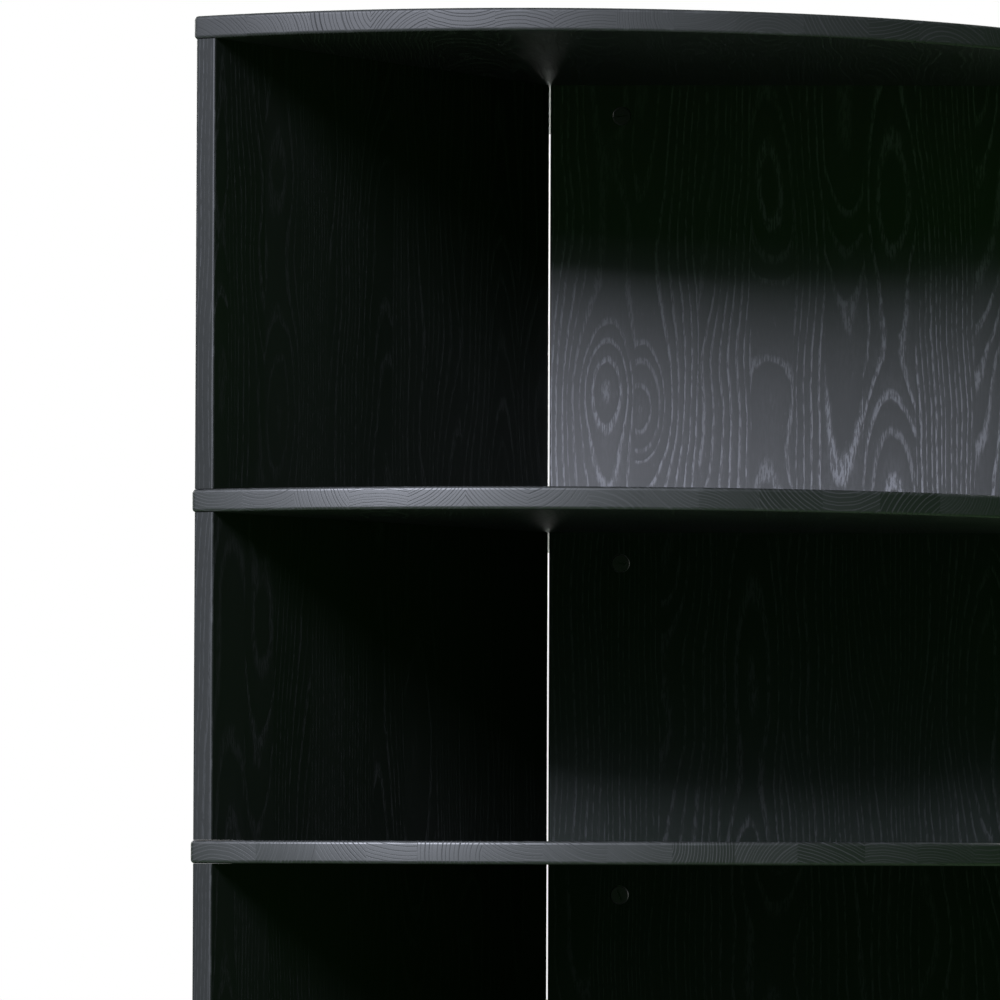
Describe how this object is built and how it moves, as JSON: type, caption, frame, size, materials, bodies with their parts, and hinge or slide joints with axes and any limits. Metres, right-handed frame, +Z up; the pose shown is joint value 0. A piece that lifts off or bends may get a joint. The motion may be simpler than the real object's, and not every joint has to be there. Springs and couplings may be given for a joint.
{
  "type": "open display shelf",
  "caption": "Open D-plan display shelf: curved-front boards on a three-armed core of upright panels, with cam fittings and floor glides, in black-stained ash.",
  "frame": {"origin": "on the floor, on the upright line where the three panels' middle planes meet, which is the middle of the underside of the centre glide", "axes": "+Z up; +X along the middle panels, away from the flat back; -Y the side that the middle panels' cams face"},
  "size_m": [0.7585, 0.9998, 1.303],
  "materials": {
    "black_ash": "black-stained ash, open pores, satin lacquer",
    "cam_black": "black cam with a capped face",
    "bolt_steel": "plain zinc-plated steel",
    "glide_black": "black moulded plastic"
  },
  "bodies": {
    "root": {"bottom_board": "black_ash", "lower_shelf": "black_ash", "middle_shelf": "black_ash", "upper_shelf": "black_ash", "top_board": "black_ash", "middle_panel_1": "black_ash", "cam_inner_middle_1": "cam_black", "cam_bolt_inner_middle_1": "bolt_steel", "cam_outer_middle_1": "cam_black", "rear_panel_1": "black_ash", "cam_inner_rear_1": "cam_black", "cam_bolt_inner_rear_1": "bolt_steel", "cam_outer_rear_1": "cam_black", "front_panel_1": "black_ash", "cam_inner_front_1": "cam_black", "cam_bolt_inner_front_1": "bolt_steel", "cam_outer_front_1": "cam_black", "middle_panel_2": "black_ash", "cam_inner_middle_2": "cam_black", "cam_bolt_inner_middle_2": "bolt_steel", "cam_outer_middle_2": "cam_black", "rear_panel_2": "black_ash", "cam_inner_rear_2": "cam_black", "cam_bolt_inner_rear_2": "bolt_steel", "cam_outer_rear_2": "cam_black", "front_panel_2": "black_ash", "cam_inner_front_2": "cam_black", "cam_bolt_inner_front_2": "bolt_steel", "cam_outer_front_2": "cam_black", "middle_panel_3": "black_ash", "cam_inner_middle_3": "cam_black", "cam_bolt_inner_middle_3": "bolt_steel", "cam_outer_middle_3": "cam_black", "rear_panel_3": "black_ash", "cam_inner_rear_3": "cam_black", "cam_bolt_inner_rear_3": "bolt_steel", "cam_outer_rear_3": "cam_black", "front_panel_3": "black_ash", "cam_inner_front_3": "cam_black", "cam_bolt_inner_front_3": "bolt_steel", "cam_outer_front_3": "cam_black", "middle_panel_4": "black_ash", "cam_inner_middle_4": "cam_black", "cam_bolt_inner_middle_4": "bolt_steel", "cam_outer_middle_4": "cam_black", "rear_panel_4": "black_ash", "cam_inner_rear_4": "cam_black", "cam_bolt_inner_rear_4": "bolt_steel", "cam_outer_rear_4": "cam_black", "front_panel_4": "black_ash", "cam_inner_front_4": "cam_black", "cam_bolt_inner_front_4": "bolt_steel", "cam_outer_front_4": "cam_black", "glide_1": "glide_black", "glide_2": "glide_black", "glide_3": "glide_black", "glide_4": "glide_black", "glide_5": "glide_black", "glide_6": "glide_black"}
  },
  "joints": []
}
